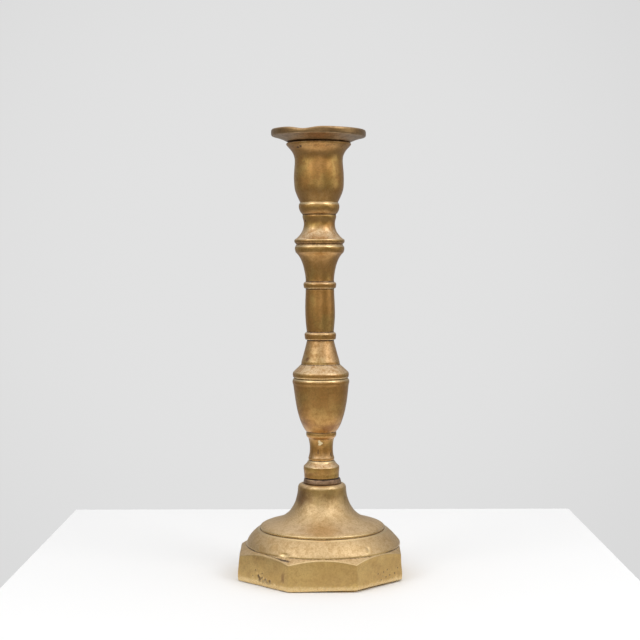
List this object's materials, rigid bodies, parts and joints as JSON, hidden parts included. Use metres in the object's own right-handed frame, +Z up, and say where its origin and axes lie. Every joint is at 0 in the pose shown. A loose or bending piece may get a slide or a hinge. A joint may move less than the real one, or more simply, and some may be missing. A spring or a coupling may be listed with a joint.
{
  "type": "altar candlestick",
  "caption": "Tall brass altar candlestick with an eight-sided hollow foot, a turned baluster stem, a cup for one candle and a loose drip pan.",
  "frame": {"origin": "centre of the face that the foot stands on", "axes": "+Z up along the stem's axis, -Y out of the middle of one flat of the foot"},
  "size_m": [0.092, 0.092, 0.2527],
  "materials": {
    "foot_brass": "aged cast brass, satin, blotchy and finely pitted",
    "stem_brass": "aged turned brass, satin, dark in the grooves and bright on the worn edges",
    "pan_brass": "aged turned brass, satin, with a worn rim",
    "collar_brass": "tarnished brass, dull",
    "iron": "dark oxidised iron, dull"
  },
  "bodies": {
    "candlestick": {"foot": "foot_brass", "foot_collar": "collar_brass", "vase_section": "stem_brass", "stem_section": "stem_brass", "candle_cup": "stem_brass", "tie_rod": "iron", "tie_washer": "iron", "tie_nut": "iron"},
    "pan": {"drip_pan": "pan_brass"}
  },
  "joints": [
    {"name": "drip_pan_lift", "type": "slide", "parent": "candlestick", "child": "pan", "axis": [0, 0, 1], "range_m": [0, 0.03]}
  ]
}
